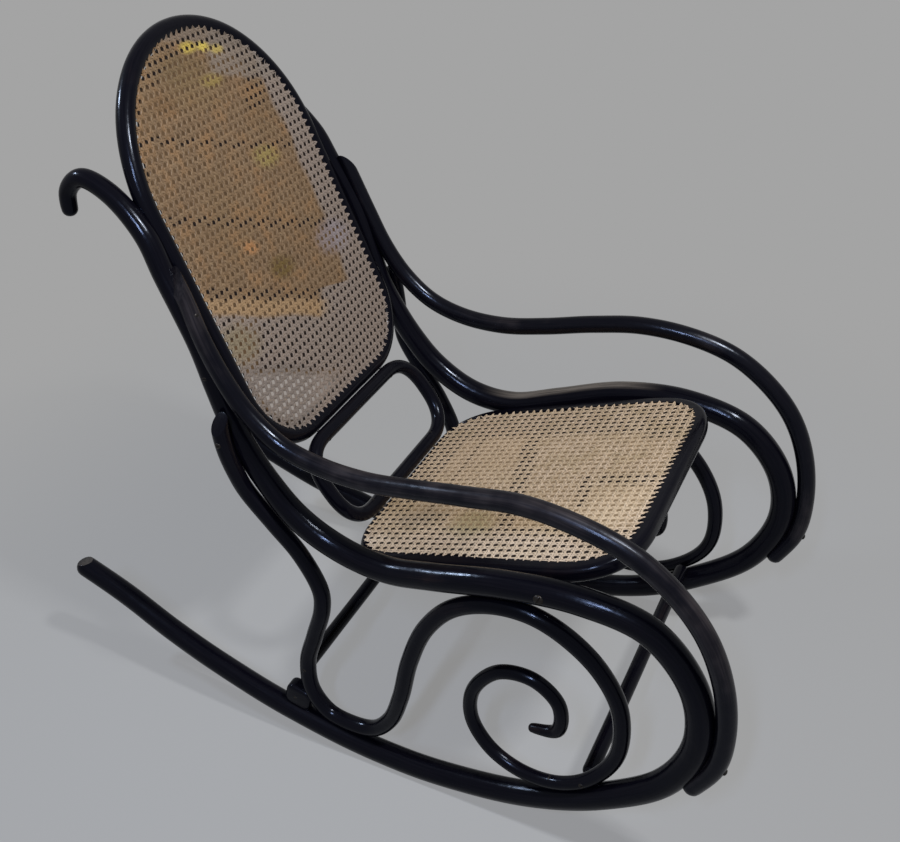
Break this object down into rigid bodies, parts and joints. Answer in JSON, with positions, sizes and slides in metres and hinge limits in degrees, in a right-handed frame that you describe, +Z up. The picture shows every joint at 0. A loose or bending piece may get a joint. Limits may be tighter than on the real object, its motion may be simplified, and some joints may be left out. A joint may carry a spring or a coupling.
{
  "type": "bentwood rocking chair",
  "caption": "Bentwood rocking chair of black round rods bent into runners, armrests and scrolls, with an oval caned back and a caned seat.",
  "frame": {"origin": "on the ground below the middle of the chair's bounding box, in its rest pose", "axes": "+X to the sitter's left, +Y to the back of the chair, +Z up; the sitter faces -Y"},
  "size_m": [0.5434, 1.045, 0.9968],
  "materials": {
    "black_wood": "glossy black lacquer on bent beech, worn to brown at the hands",
    "seat_cane": "woven rattan cane, straw coloured, satin",
    "back_cane": "woven rattan cane, aged to a mottled tan brown, satin",
    "screw_steel": "darkened steel screw heads"
  },
  "bodies": {
    "root": {"rocker_rod_right": "black_wood", "arm_right": "black_wood", "scroll_rod_right": "black_wood", "leg_block_right": "black_wood", "rocker_rod_left": "black_wood", "arm_left": "black_wood", "scroll_rod_left": "black_wood", "leg_block_left": "black_wood", "front_stretcher": "black_wood", "rear_stretcher": "black_wood", "seat_frame": "black_wood", "seat_cane": "seat_cane", "back_hoop": "black_wood", "back_cane": "back_cane", "back_ring": "black_wood", "seat_bolt_right": "screw_steel", "hoop_screw_right": "screw_steel", "leg_top_screw_right": "screw_steel", "loop_top_screw_right": "screw_steel", "loop_foot_screw_right": "screw_steel", "arm_top_screw_right": "screw_steel", "arm_foot_screw_right": "screw_steel", "front_stretcher_screw_right": "screw_steel", "rear_stretcher_screw_right": "screw_steel", "leg_block_screw_right": "screw_steel", "seat_bolt_left": "screw_steel", "hoop_screw_left": "screw_steel", "leg_top_screw_left": "screw_steel", "loop_top_screw_left": "screw_steel", "loop_foot_screw_left": "screw_steel", "arm_top_screw_left": "screw_steel", "arm_foot_screw_left": "screw_steel", "front_stretcher_screw_left": "screw_steel", "rear_stretcher_screw_left": "screw_steel", "leg_block_screw_left": "screw_steel", "ring_foot_screw_right": "screw_steel", "ring_top_screw_right": "screw_steel", "ring_foot_screw_left": "screw_steel", "ring_top_screw_left": "screw_steel"}
  },
  "joints": []
}
